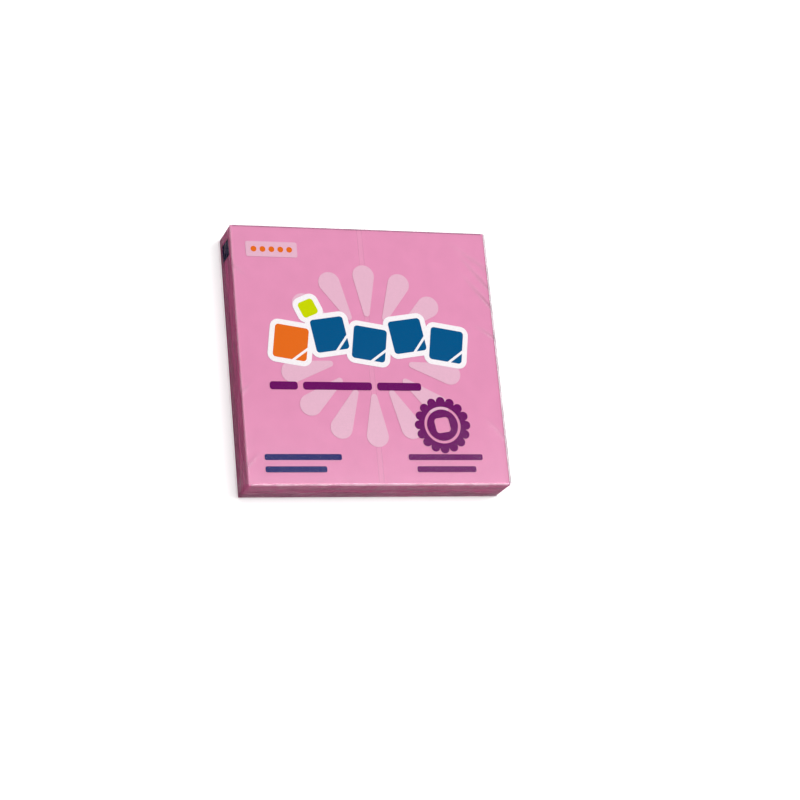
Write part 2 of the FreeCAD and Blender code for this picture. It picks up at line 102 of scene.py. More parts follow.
class FilmSettings(bpy.types.PropertyGroup):
    """Sizes and gloss of the film wrap and its tear tape."""

    thickness: length_setting("Thickness", "Film", 0.04 * MM)
    tape_thickness: length_setting("Tape thickness", "Tear tape", 0.03 * MM)
    face_bend: length_setting(
        "Face bend", "Height of the film's bend round the face's edges", 0.6 * MM
    )
    face_run: length_setting(
        "Face run", "How far in from an edge of the face the film starts to bend", 0.75 * MM
    )
    base_bend: length_setting("Base bend", "Bend of the film round the underside's edges", 0.2 * MM)
    base_slack: length_setting(
        "Base slack", "How far the folded layers stand off the ends at the base", 0.3 * MM
    )
    top_slack: length_setting(
        "Top slack", "The same at the face, on the right end alone", 0.3 * MM
    )
    fold_reach: length_setting("Fold reach", "Film folded over each end", 8.2 * MM)
    layer_step: length_setting("Layer step", "From one folded layer to the next", 0.05 * MM)
    lap_top: length_setting("Lap top", "Height of the outer free edge of the seam", 6.2 * MM)
    lap_start: length_setting("Lap start", "Height of the hidden inner edge of the seam", 1.6 * MM)
    ripple: length_setting("Ripple", "Height of the slow ripples over the face", 0.07 * MM)
    gloss: share_setting("Gloss", "Share of light mirrored straight on", 0.004)
    flat_gloss: share_setting(
        "Flat gloss", "Share mirrored at a flat angle by the slack film of the face", 0.35
    )
    tight_gloss: share_setting(
        "Tight gloss", "The same for film pulled tight over the cut edges", 0.012
    )
    # The haze share also sets the painted highlights along the bends and free edges, and the painted
    # white streaks and glints.
    haze: share_setting("Haze", "Whitening of the film along its folds and marks", 0.16)
    # The crease share also sets how dark the painted shade of the creases and of the bends at the
    # far side and right end is.
    crease_share: share_setting("Crease share", "Light that a crease turns away", 0.13)
    roughness: share_setting("Roughness", "Roughness of the film", 0.12)


class InkSettings(bpy.types.PropertyGroup):
    """Colours of the print."""

    tint: colour_setting("Tint", "Pale rays and label", "#e9b8ce")
    white: colour_setting("White", "Margin round the notes", "#fbf6f9")
    blue: colour_setting("Blue", "Printed notes", "#00568a")
    orange: colour_setting("Orange", "First printed note and dots", "#e86d1c")
    lime: colour_setting("Lime", "Small note", "#cbd900")
    purple: colour_setting("Purple", "Seal, dashes and the rules under the seal", "#6b0661")
    navy: colour_setting("Navy", "Rules at the left", "#1f2169")
    eye_mark: colour_setting("Eye mark", "Registration mark on the end", "#1a1840")


class StageSettings(bpy.types.PropertyGroup):
    """Lamps, floor and camera."""

    key_light: number_setting("Key light", "Irradiance of the key lamp on the face", 2.64)
    key_size: bpy.props.FloatVectorProperty(
        name="Key size", description="Width and depth of the key lamp", size=2,
        default=(1.0, 0.5), unit="LENGTH",
    )
    key_place: bpy.props.FloatVectorProperty(
        name="Key place", description="Middle of the key lamp", size=3,
        default=(0.25, 0.08, 1.2), subtype="TRANSLATION",
    )
    room_light: number_setting("Room light", "Strength of the plain room light", 0.2)
    front_light: number_setting("Front light", "Irradiance of the front lamp on the face", 0.06)
    lens: number_setting("Lens", "Focal length for a 36 mm sensor, in millimetres", 96.45)
    camera_place: bpy.props.FloatVectorProperty(
        name="Camera place", description="Camera position", size=3,
        default=(-0.188, -0.1891, 0.5528), subtype="TRANSLATION",
    )
    camera_elevation: number_setting(
        "Camera elevation", "Downward tilt of the camera", math.radians(64.055), subtype="ANGLE"
    )
    camera_heading: number_setting(
        "Camera heading", "Turn of the view from +Y towards +X", math.radians(48.026),
        subtype="ANGLE",
    )
    camera_up: bpy.props.FloatVectorProperty(
        name="Camera up", description="Direction of the picture's top edge", size=3,
        default=(-0.0096, 0.9519, 0.3063), subtype="DIRECTION",
    )


SETTINGS = {
    "note_stack": NoteStackSettings,
    "film": FilmSettings,
    "inks": InkSettings,
    "stage": StageSettings,
}


def linear(hex_colour):
    """Linear RGBA of an sRGB hex colour."""
    parts = [int(hex_colour[i:i + 2], 16) / 255 for i in (1, 3, 5)]
    return (*[c / 12.92 if c <= 0.04045 else ((c + 0.055) / 1.055) ** 2.4 for c in parts], 1.0)


def add_node(tree, kind, inputs=None, **options):
    """One node with its options; an input given as a socket is linked, anything else is set."""
    node = tree.nodes.new(kind)
    for name, value in options.items():
        setattr(node, name, value)
    for key, value in (inputs or {}).items():
        socket = node.inputs[key]
        if isinstance(value, bpy.types.NodeSocket):
            tree.links.new(value, socket)
        else:
            socket.default_value = value
    return node


def new_material(name):
    """An empty node material and its tree."""
    material = bpy.data.materials.new(name)
    material.use_nodes = True
    material.node_tree.nodes.clear()
    return material, material.node_tree


def object_noise(tree, size, detail=2.0, stretch=(1.0, 1.0, 1.0)):
    """Noise with features of a real size in metres, on Object coordinates."""
    coordinate = add_node(tree, "ShaderNodeTexCoord")
    mapping = add_node(
        tree, "ShaderNodeMapping",
        {"Vector": coordinate.outputs["Object"], "Scale": tuple(s / size for s in stretch)},
    )
    pattern = add_node(
        tree, "ShaderNodeTexNoise",
        {"Vector": mapping.outputs["Vector"], "Scale": 1.0, "Detail": detail},
    )
    return pattern.outputs["Fac"]


def varied_colour(tree, factor, dark, light):
    """A colour that runs from dark to light over the middle of a noise factor."""
    ramp = add_node(tree, "ShaderNodeValToRGB", {"Fac": factor})
    ramp.color_ramp.elements[0].position = 0.3
    ramp.color_ramp.elements[0].color = dark
    ramp.color_ramp.elements[1].position = 0.7
    ramp.color_ramp.elements[1].color = light
    return ramp.outputs["Color"]


def scaled(colour, share):
    """A linear colour made darker or lighter by a share."""
    return (*[min(1.0, c * share) for c in colour[:3]], 1.0)


def note_paper(settings):
    """Uncoated wood-free paper, dyed in the pulp and calendered: matte, with a soft cloudy
    formation a few millimetres wide and a fine fibre grain."""
    material, tree = new_material("Dyed note paper")
    base = linear(settings.note_colour)
    clouds = object_noise(tree, 4.5 * MM, detail=3.0)
    colour = varied_colour(tree, clouds, scaled(base, 0.975), scaled(base, 1.02))
    # Fibres are about 0.03 mm wide; they are drawn at 0.15 mm so that they show.
    fibres = object_noise(tree, 0.15 * MM, detail=2.0)
    grain = add_node(
        tree, "ShaderNodeBump", {"Height": fibres, "Distance": 0.01 * MM, "Strength": 0.5}
    ).outputs["Normal"]
    shader = add_node(
        tree, "ShaderNodeBsdfPrincipled",
        {"Base Color": colour, "Roughness": 0.9, "Specular IOR Level": 0.25, "Normal": grain},
    )
    add_node(tree, "ShaderNodeOutputMaterial", {"Surface": shader.outputs["BSDF"]})
    return material


def cut_edge_paper(settings):
    """Guillotined paper edges: light sinks in between the sheets, so that they look darker and
    fuller than the flat of a note, with lines along the sheets. Towards the bottom they are painted
    darker: painted shade."""
    material, tree = new_material("Cut paper edges")
    base = linear(settings.edge_colour)
    tone = add_node(tree, "ShaderNodeAttribute", attribute_name="sheet_tone").outputs["Fac"]
    # Sheets are 0.12 mm apart; the streaks are drawn over about four sheets so that they show.
    streaks = object_noise(tree, 0.5 * MM, detail=3.0, stretch=(0.04, 0.04, 1.0))
    edges = add_node(
        tree, "ShaderNodeBump", {"Height": streaks, "Distance": 0.05 * MM, "Strength": 0.6}
    ).outputs["Normal"]
    # Bundles of sheets slipped under the knife, 1.5 mm thick and 15 mm long.
    bundles = object_noise(tree, 1.5 * MM, detail=2.0, stretch=(0.1, 0.1, 1.0))
    # Short waves of the sheets, 2 to 3 mm wide.
    waves = object_noise(tree, 2.4 * MM, detail=3.0, stretch=(0.8, 0.8, 1.2))
    coordinate = add_node(tree, "ShaderNodeTexCoord").outputs["Object"]
    height = add_node(tree, "ShaderNodeSeparateXYZ", {"Vector": coordinate}).outputs["Z"]
    # Painted shade: the edges run darker towards the bottom of the stack.
    factor = add_node(
        tree, "ShaderNodeMapRange",
        {
            "Value": height, "From Min": NOTES_LOW.z, "From Max": NOTES_HIGH.z, "To Min": -1.02,
            "To Max": -0.44,
        },
    ).outputs["Result"]
    for pattern, weight in ((waves, 0.55), (streaks, 0.35), (tone, 0.35), (bundles, 1.3)):
        factor = add_node(
            tree, "ShaderNodeMath", {0: pattern, 1: weight, 2: factor}, operation="MULTIPLY_ADD"
        ).outputs["Value"]
    colour = varied_colour(tree, factor, scaled(base, 0.55), scaled(base, 1.5))
    shader = add_node(
        tree, "ShaderNodeBsdfPrincipled",
        {"Base Color": colour, "Roughness": 0.85, "Specular IOR Level": 0.2, "Normal": edges},
    )
    add_node(tree, "ShaderNodeOutputMaterial", {"Surface": shader.outputs["BSDF"]})
    return material


def release_paper(settings):
    """Glassine with a silicone coat: off-white, smooth and a little shiny, with cloudy fibre."""
    material, tree = new_material("Release-coated paper")
    base = linear(settings.backing_colour)
    clouds = object_noise(tree, 3.0 * MM, detail=4.0)
    paper = varied_colour(tree, clouds, scaled(base, 0.95), base)
    coordinate = add_node(tree, "ShaderNodeTexCoord").outputs["Object"]
    away = add_node(tree, "ShaderNodeVectorMath", {0: coordinate}, operation="ABSOLUTE")
    place = add_node(tree, "ShaderNodeSeparateXYZ", {"Vector": away.outputs["Vector"]}).outputs
    farthest = add_node(
        tree, "ShaderNodeMath", {0: place["X"], 1: place["Y"]}, operation="MAXIMUM"
    ).outputs["Value"]
    # The last 0.1 mm is painted in the darker edge colour: painted shade on the cut edge.
    cut = add_node(
        tree, "ShaderNodeMapRange",
        {"Value": farthest, "From Min": NOTES_HIGH.x - 0.1 * MM, "From Max": NOTES_HIGH.x},
    ).outputs["Result"]
    colour = add_node(
        tree, "ShaderNodeMix", {"Factor": cut, 6: paper, 7: linear(settings.edge_colour)},
        data_type="RGBA",
    ).outputs[2]
    shader = add_node(tree, "ShaderNodeBsdfPrincipled", {"Base Color": colour, "Roughness": 0.42})
    add_node(tree, "ShaderNodeOutputMaterial", {"Surface": shader.outputs["BSDF"]})
    return material


# The values that each point of the film holds: how folded it is, which sets its haze and painted
# highlight; if it is the outermost layer; how strong its painted white streaks and glints are; and
# how much painted shade a crease or a bend lays on it.
FILM_VALUES = ("fold", "outer", "pulled", "crease")


def lay_on_clear(tree, share, coat):
    """The film's surface: see-through, with a coat over it that shows by a share."""
    clear = add_node(tree, "ShaderNodeBsdfTransparent")
    layered = add_node(
        tree, "ShaderNodeMixShader", {0: share, 1: clear.outputs["BSDF"], 2: coat.outputs["BSDF"]}
    )
    add_node(tree, "ShaderNodeOutputMaterial", {"Surface": layered.outputs["Shader"]})


def clear_film(settings):
    """Cast polypropylene film, folded and heat-sealed: clear, with a thin gloss that follows its
    ripples, haze and painted highlights along its folds and bends, painted white streaks and glints,
    painted shade along its creases and some bends, and no gloss of its own where one layer lies
    under another."""
    material, tree = new_material("Clear wrapping film")
    values = {
        name: add_node(tree, "ShaderNodeAttribute", attribute_name=name).outputs["Fac"]
        for name in FILM_VALUES
    }
    # Stretch marks are about 1 mm apart and a few micrometres deep.
    marks = object_noise(tree, 1.1 * MM, detail=2.0, stretch=(0.35, 1.0, 1.0))
    relief = add_node(
        tree, "ShaderNodeBump", {"Height": marks, "Distance": 0.012 * MM, "Strength": 0.3}
    ).outputs["Normal"]
    values["facing"] = add_node(
        tree, "ShaderNodeLayerWeight", {"Blend": 0.5, "Normal": relief}
    ).outputs["Facing"]
    # Painted white streaks run along the sides, glints of light on the film about 0.1 mm wide; they
    # are drawn at 0.4 mm.
    streak_noise = object_noise(tree, 0.4 * MM, detail=3.0, stretch=(0.05, 0.05, 1.0))
    # The haze and painted highlight of a fold come and go every few millimetres.
    patches = object_noise(tree, 3.5 * MM, detail=3.0)
    # Painted white glints on the film, 2 to 4 mm long and 0.4 mm high.
    glint_noise = object_noise(tree, 1.3 * MM, detail=1.0, stretch=(0.35, 0.35, 3.0))
    normal = add_node(tree, "ShaderNodeNewGeometry").outputs["True Normal"]
    upward = add_node(tree, "ShaderNodeSeparateXYZ", {"Vector": normal}).outputs["Z"]
    level = add_node(tree, "ShaderNodeMath", {0: upward}, operation="ABSOLUTE").outputs["Value"]
    ranges = (
        ("lines", streak_noise, 0.56, 0.74, 0.0, values["pulled"]),
        ("haze_breaks", patches, 0.4, 0.6, 0.45, 1.0),
        ("painted_glints", glint_noise, 0.7, 0.8, 0.0, 2.4),
        ("slack", level, 0.5, 0.95, settings.tight_gloss, settings.flat_gloss),
    )
    sockets = ("Value", "From Min", "From Max", "To Min", "To Max")
    for name, *inputs in ranges:
        node = add_node(tree, "ShaderNodeMapRange", dict(zip(sockets, inputs)))
        values[name] = node.outputs["Result"]
    formulas = (
        ("glints_and_streaks", "MULTIPLY_ADD", "painted_glints", "pulled", "lines"),
        ("haze_and_painted_light", "MULTIPLY_ADD", "fold", "haze_breaks", "glints_and_streaks"),
        # The haze share also carries the painted highlights, streaks and glints.
        ("haze", "MULTIPLY", "haze_and_painted_light", settings.haze),
        ("flat", "POWER", "facing", 5.0),
        ("gloss", "MULTIPLY_ADD", "flat", "slack", settings.gloss),
        # A fold shows about four times the gloss of the flat film.
        ("lift", "MULTIPLY_ADD", "fold", 3.5, 1.0),
        ("bright", "MULTIPLY", "gloss", "lift"),
        # A crease turns part of the light away, so that it looks darker than the film round it:
        # painted shade, which is also laid on the bends at the far side and right end.
        ("shaded", "MULTIPLY_ADD", "crease", settings.crease_share, "haze"),
        ("share", "ADD", "bright", "shaded"),
        ("seen", "MULTIPLY", "share", "outer"),
        ("mirrored", "DIVIDE", "bright", "share"),
    )
    for name, operation, *terms in formulas:
        inputs = {place: values.get(term, term) for place, term in enumerate(terms)}
        node = add_node(tree, "ShaderNodeMath", inputs, operation=operation)
        values[name] = node.outputs["Value"]
    # The haze is pinkish and palest where a fold is strongest, which paints the highlights along the
    # near bend and the free edges; smooth film mirrors without a colour.
    haze_and_highlight_tint = varied_colour(tree, values["fold"], linear("#dcaac4"), linear("#ffd2e6"))
    haze_and_light_share = add_node(
        tree, "ShaderNodeMapRange", {"Value": values["haze_and_painted_light"], "From Min": 0.0, "From Max": 0.1}
    ).outputs["Result"]
    # The crease value paints the film dark mauve: painted shade.
    tint = linear("#ffffff")
    for factor, colour in ((haze_and_light_share, haze_and_highlight_tint), (values["crease"], linear("#84486a"))):
        tint = add_node(
            tree, "ShaderNodeMix", {"Factor": factor, 6: tint, 7: colour}, data_type="RGBA"
        ).outputs[2]
    coat = add_node(
        tree, "ShaderNodeBsdfPrincipled",
        {
            "Base Color": tint, "Metallic": values["mirrored"], "Roughness": settings.roughness,
            "Normal": relief,
        },
    )
    lay_on_clear(tree, values["seen"], coat)
    return material


def tear_tape_film():
    """Oriented polypropylene tape, slit and glued inside the film: clear, a trace milky, with a
    thin grey line of painted shade along each slit edge."""
    material, tree = new_material("Clear slit tape")
    coordinate = add_node(tree, "ShaderNodeTexCoord").outputs["Object"]
    across = add_node(tree, "ShaderNodeSeparateXYZ", {"Vector": coordinate}).outputs["X"]
    away = add_node(tree, "ShaderNodeMath", {0: across}, operation="ABSOLUTE").outputs["Value"]
    half = TAPE_HIGH.x
    # A slit edge is 0.05 mm wide; its line of painted shade is drawn at 0.2 mm.
    edge = add_node(
        tree, "ShaderNodeMapRange",
        {"Value": away, "From Min": half - 0.25 * MM, "From Max": half - 0.05 * MM},
    ).outputs["Result"]
    shade = varied_colour(tree, edge, linear("#ffffff"), linear("#b08a9c"))
    share = add_node(
        tree, "ShaderNodeMath", {0: edge, 1: 0.05, 2: 0.02}, operation="MULTIPLY_ADD"
    ).outputs["Value"]
    coat = add_node(
        tree, "ShaderNodeBsdfPrincipled",
        {"Base Color": shade, "Roughness": 0.35, "Specular IOR Level": 0.2},
    )
    lay_on_clear(tree, share, coat)
    return material


def printing_ink(name, hex_colour):
    """Flexographic ink on the inside of the film: even, with the faint mottle of a soft printing
    plate, and no gloss of its own, because the film lies on it."""
    material, tree = new_material(name)
    base = linear(hex_colour)
    # Plate mottle is about 0.2 mm wide; it is drawn at 0.4 mm so that it shows.
    mottle = object_noise(tree, 0.4 * MM, detail=3.0)
    colour = varied_colour(tree, mottle, scaled(base, 0.96), scaled(base, 1.03))
    shader = add_node(
        tree, "ShaderNodeBsdfPrincipled",
        {"Base Color": colour, "Roughness": 0.6, "Specular IOR Level": 0.0},
    )
    add_node(tree, "ShaderNodeOutputMaterial", {"Surface": shader.outputs["BSDF"]})
    return material


def smooth_step(value):
    """0 to 1 with level ends."""
    held = max(0.0, min(1.0, value))
    return held * held * (3.0 - 2.0 * held)


def mixed(low, high, share):
    """A value between two others."""
    return low + (high - low) * share


def smooth_noise(u, v, seed):
    """Smooth noise from -1 to 1 at a place given in wavelengths."""
    return noise.noise(Vector((u, v, seed)), noise_basis="PERLIN_ORIGINAL")


# Tension creases of the film on the face, in millimetres from the middle of the face: where each
# fades out, where it meets the edge, its height and its width.
FACE_CREASES = [
    ((27.5, 33.4), (38.2, 20.6), 0.10, 0.6),
    ((28.6, 26.6), (38.2, 15.0), 0.12, 0.55),
    ((24.0, 36.6), (38.2, 26.5), 0.06, 0.7),
    ((31.0, 10.2), (38.3, 5.7), 0.09, 0.5),
    ((31.5, -17.0), (38.3, -24.5), 0.05, 0.6),
    ((-34.0, 22.5), (-38.3, 26.0), 0.06, 0.5),
    ((-34.6, -8.0), (-38.3, -11.5), 0.05, 0.5),
    ((-33.5, -27.5), (-38.3, -33.0), 0.07, 0.5),
    ((12.0, 35.4), (16.5, 38.2), 0.05, 0.5),
    ((-15.0, -35.6), (-19.5, -38.2), 0.05, 0.5),
]
HIGHEST_CREASE = max(crease[2] for crease in FACE_CREASES) * MM


def crease_lift(x, y):
    """Height of the film's creases at a place on the face, in metres."""
    x_mm, y_mm = x / MM, y / MM
    lift = 0.0
    for start, end, height, width in FACE_CREASES:
        run_x, run_y = end[0] - start[0], end[1] - start[1]
        length = math.hypot(run_x, run_y)
        along = ((x_mm - start[0]) * run_x + (y_mm - start[1]) * run_y) / length
        across = ((x_mm - start[0]) * run_y - (y_mm - start[1]) * run_x) / length
        ridge = math.exp(-min(30.0, (across / width) ** 2))
        lift += height * ridge * smooth_step(along / length)
    return lift * MM


def crease_shade(x, y):
    """0 to 1: how much painted shade the crease at a place on the face lays over what lies under it.
    """
    return min(1.0, crease_lift(x, y) / HIGHEST_CREASE)


# How high the film rises: in streaks on the sides, in puckers on the ends, and along the free edges
# of the seam and of the flaps.
STREAK_RISE = 0.06 * MM
PUCKER_RISE = 0.07 * MM
SEAM_RISE = 0.09 * MM
FLAP_RISE = 0.1 * MM


def face_lift(x, y, settings):
    """Height of the film over its plain place on the face, in ripples of about 20 mm."""
    x_mm, y_mm = x / MM, y / MM
    from_end = FILM_HIGH.x - settings.face_run - abs(x)
    from_side = FILM_HIGH.y - settings.face_run - abs(y)
    waves = 0.55 + 0.6 * smooth_noise(x_mm / 19, y_mm / 27, 3.1)
    waves += 0.3 * smooth_noise(x_mm / 6.5 + y_mm / 30, y_mm / 9, 8.7)
    hold = smooth_step(min(from_end, from_side) / (2.0 * MM))
    return settings.ripple * waves * hold + crease_lift(x, y) * smooth_step(from_side / MM)


def side_lift(along, up, height, seed):
    """Outward lift of the film on a side: streaks along it, 23 mm long and 2 mm high."""
    along_mm, up_mm = along / MM, up / MM
    hold = smooth_step(min(up_mm, height / MM - up_mm) / 1.5)
    streak = 0.5 + 0.8 * smooth_noise(along_mm / 23, up_mm / 2.2, seed)
    streak += 0.35 * smooth_noise(along_mm / 7, up_mm / 1.3, seed + 5)
    return STREAK_RISE * max(0.0, streak) * hold


def end_lift(across, up, height, half_depth, seed):
    """Outward lift of the folded layers on an end: soft puckers, 9 mm long and 3 mm high."""
    across_mm, up_mm = across / MM, up / MM
    margin = min(up_mm, height / MM - up_mm, half_depth / MM - abs(across_mm))
    pucker = 0.5 + 0.8 * smooth_noise(across_mm / 9, up_mm / 3.1, seed)
    pucker += 0.5 * smooth_noise(across_mm / 3.2, up_mm / 5.0, seed + 5)
    return PUCKER_RISE * max(0.0, pucker) * smooth_step(margin / 1.4)


def spaced(start, end, step):
    """Values from start to end in equal steps of about the given size."""
    count = max(1, round(abs(end - start) / step))
    return [mixed(start, end, i / count) for i in range(count + 1)]


def corner_points(centre, radii, start, end, count=8):
    """Places, outward directions and shares of the way round an oval corner of the sleeve,
    without its two ends."""
    for i in range(1, count):
        angle = math.radians(mixed(start, end, i / count))
        across, up = math.cos(angle), math.sin(angle)
        yield centre[0] + radii[0] * across, centre[1] + radii[1] * up, across, up, i / count


def sleeve_profile(settings):
    """The section of the sleeve, from the hidden inner edge on the near side, over the face, down
    the far side and back under the pad to the outer edge of the lap. Each point holds its place,
    its outward direction, its panel and how far the end's plane stands out there."""
    half, top = FILM_HIGH.y, FILM_HIGH.z
    run, face, base = settings.face_run, settings.face_bend, settings.base_bend
    step = settings.layer_step
    near = -half - step
    outermost = FILM_HIGH.x + 0.6 * step
    planes = {
        "near_inner": outermost - 3 * step, "top": outermost, "far": outermost - 2 * step,
        "bottom": outermost - step, "near_outer": outermost - 2 * step,
    }
    points = []

    def straight(panel, places, direction):
        points.extend((*place, *direction, panel, planes[panel]) for place in places)

    def corner(first, second, *shape):
        for y, z, across, up, share in corner_points(*shape):
            plane = mixed(planes[first], planes[second], share)
            points.append((y, z, across, up, "corner", plane))

    low = settings.lap_start
    straight("near_inner", [(-half, z) for z in spaced(low, top - face, 0.45 * MM)], (-1, 0))
    corner("near_inner", "top", (-half + run, top - face), (run, face), 180, 90)
    straight("top", [(y, top) for y in spaced(-half + run, half - run, 0.5 * MM)], (0, 1))
    corner("top", "far", (half - run, top - face), (run, face), 90, 0)
    straight("far", [(half, z) for z in spaced(top - face, base, 0.45 * MM)], (1, 0))
    corner("far", "bottom", (half - base, base), (base, base), 0, -90)
    straight("bottom", [(y, 0.0) for y in spaced(half - base, near + base, 3.0 * MM)], (0, -1))
    corner("bottom", "near_outer", (near + base, base), (base, base), -90, -180)
    lap = spaced(base, settings.lap_top - 0.3 * MM, 0.4 * MM) + [settings.lap_top]
    straight("near_outer", [(near, z) for z in lap], (-1, 0))
    return points


def sleeve_lift(x, y, z, panel, settings):
    """Outward lift of the sleeve at a point of one of its panels."""
    top = FILM_HIGH.z
    hold = smooth_step((FILM_HIGH.x - abs(x)) / (1.5 * MM))
    if panel == "top":
        return face_lift(x, y, settings)
    if panel == "far":
        return side_lift(x, z, top, 21.5) * hold
    if panel == "near_inner":
        return side_lift(x, z, top, 33.5) * hold
    if panel == "near_outer":
        free = smooth_step((z - settings.lap_top + 1.6 * MM) / (1.6 * MM))
        flutter = 0.6 + 0.7 * smooth_noise(x / MM / 8, 0.0, 47.0)
        return (side_lift(x, z, top, 33.5) + SEAM_RISE * free * flutter) * hold
    return 0.0


def end_slack(side, z, settings):
    """How far the folded film stands off an end at a height: the last folds made are the loosest,
    and one end was pulled tight at the face."""
    top = settings.top_slack if side > 0 else 0.0
    return mixed(settings.base_slack, top, smooth_step(z / FILM_HIGH.z))


def fold_depth(y, panel, bend, settings):
    """How deep the film is folded over the end, measured from its bend: tucks go in evenly, and a
    flap is cut off at 45 degrees towards its corners."""
    if panel in ("near_inner", "near_outer", "far"):
        return settings.fold_reach - bend
    if panel in ("top", "bottom"):
        return max(0.0, min(settings.fold_reach, FILM_HIGH.y - abs(y)) - bend)
    return 0.0


def seen_on_sleeve(z, panel, settings):
    """1 where the sleeve is its outermost layer, 0 under the lap."""
    return 0.0 if panel == "near_inner" and z < settings.lap_top else 1.0


def seen_on_end(y, z, panel, settings):
    """1 where a folded layer is the outermost one on its end, 0 where another covers it."""
    top = FILM_HIGH.z
    inward = FILM_HIGH.y - abs(y)
    if panel in ("near_inner", "near_outer", "far"):
        return 1.0 if inward < min(z, top - z) else 0.0
    if panel == "bottom":
        return 1.0 if z < top - settings.fold_reach else 0.0
    return 1.0


def over_tuck(side, y, z, settings):
    """1 where a tuck lies under the flap, so that two layers of haze show, and 0 elsewhere and over
    the eye mark."""
    edge = 0.3 * MM
    in_line = MARK_LOW.y - edge <= y <= MARK_HIGH.y + edge
    on_mark = side < 0 and in_line and MARK_LOW.z - edge <= z <= MARK_HIGH.z + edge
    return 1.0 if FILM_HIGH.y - abs(y) < settings.fold_reach and not on_mark else 0.0


FOLD_ROWS = 13
BEND_ROWS = 8
# Haze of the folds: a painted highlight along a free edge, haze over a tuck, and a painted highlight
# on the bends between sleeve and ends.
EDGE_HIGHLIGHT = 2.0
TUCK_HAZE = 0.28
BEND_HIGHLIGHT = {"top": 1.6, "bottom": 0.6}
SIDE_BEND_HIGHLIGHT = 0.25
# Haze of the sleeve: on a side from low to high, painted lighter towards the top; a painted
# highlight on the near bend of the face, on the other bends of the face and of the base, and
# along the free edge of the seam.
SIDE_HAZE_AND_LIGHT = (0.16, 0.32)
NEAR_BEND_HIGHLIGHT = 8.0
FACE_BEND_HIGHLIGHT = 1.0
BASE_BEND_HIGHLIGHT = 0.6
SEAM_EDGE_HIGHLIGHT = 1.8
# How strong the painted white streaks and glints are on the ends and the sides.
END_STREAKS_AND_GLINTS = 0.5
SIDE_STREAKS_AND_GLINTS = {"near_inner": 1.2, "near_outer": 1.2, "far": 0.6}
# Painted shade on the film's bends at the far side and right end: how dark it is.
BEND_PAINTED_SHADE = 1.1
# Haze that the double film of the seam adds on the near side: at the base and at the face.
SEAM_HAZE = (0.5, 0.12)


def film_rows(settings):
    """Rows of points of the film, from the free edges on the left end to those on the right. Each
    point holds its place and then its film values."""
    profile = sleeve_profile(settings)
    quarter, top = math.pi / 2, FILM_HIGH.z
    heights = [smooth_step(point[1] / top) for point in profile]
    bends = [mixed(settings.base_bend, settings.face_bend, share) for share in heights]
    runs = [mixed(settings.base_bend, settings.face_run, share ** 3) for share in heights]
    reach = FILM_HIGH.x - settings.face_run - 0.3 * MM
    right = spaced(0.0, 30 * MM, 0.8 * MM) + spaced(30 * MM, reach, 0.3 * MM)[1:]
    columns = [-x for x in reversed(right[1:])] + right

    def folded(side, share):
        """A row in the plane of an end, at a share of the fold's depth."""
        row = []
        for (y, z, across, up, panel, plane), bend in zip(profile, bends):
            depth = bend + share * fold_depth(y, panel, bend, settings)
            place_y, place_z = y - across * depth, z - up * depth
            lift = end_lift(place_y, place_z, top, FILM_HIGH.y, 60.0 + side)
            if panel == "top":
                free_edge = smooth_step((share - 0.6) / 0.4)
                flutter = 0.5 + 0.8 * smooth_noise(y / MM / 9, side, 71.0)
                lift += FLAP_RISE * free_edge * flutter
            tucked = TUCK_HAZE * over_tuck(side, place_y, place_z, settings)
            # A flap's free edge carries a painted highlight.
            fold = EDGE_HIGHLIGHT if share == 1.0 else tucked
            outer = seen_on_end(place_y, place_z, panel, settings)
            lift += end_slack(side, place_z, settings)
            x = side * (plane + lift)
            row.append((x, place_y, place_z, fold, outer, END_STREAKS_AND_GLINTS, 0.0))
        return row

    def bent(side, turn):
        """A row on the bend between the sleeve and an end."""
        row = []
        for (y, z, across, up, panel, plane), bend, run in zip(profile, bends, runs):
            slack = end_slack(side, z, settings) * turn / quarter
            x = side * (plane + slack - run * (1 - math.sin(turn)))
            depth = bend * (1 - math.cos(turn))
            if panel == "top":
                depth -= crease_lift(x, y) * math.cos(turn)
            # The bends between sleeve and ends carry a painted highlight.
            fold = math.sin(2 * turn) * BEND_HIGHLIGHT.get(panel, SIDE_BEND_HIGHLIGHT)
            outer = seen_on_sleeve(z, panel, settings)
            # Painted shade along the face's creases and, at the right end, on the bends.
            shade = crease_shade(x, y) * math.cos(turn) if panel == "top" else 0.0
            if side > 0:
                shade += BEND_PAINTED_SHADE * math.sin(2 * turn)
            row.append((x, y - across * depth, z - up * depth, fold, outer, 0.0, shade))
        return row

    shares = [i / FOLD_ROWS for i in range(1, FOLD_ROWS)] + [0.97, 1.0]
    left = [folded(-1, share) for share in reversed(shares)]
    left += [bent(-1, quarter * i / BEND_ROWS) for i in range(BEND_ROWS, -1, -1)]
    right_end = [bent(1, quarter * i / BEND_ROWS) for i in range(BEND_ROWS + 1)]
    right_end += [folded(1, share) for share in shares]
    return left + [sleeve_row(profile, x, settings) for x in columns] + right_end


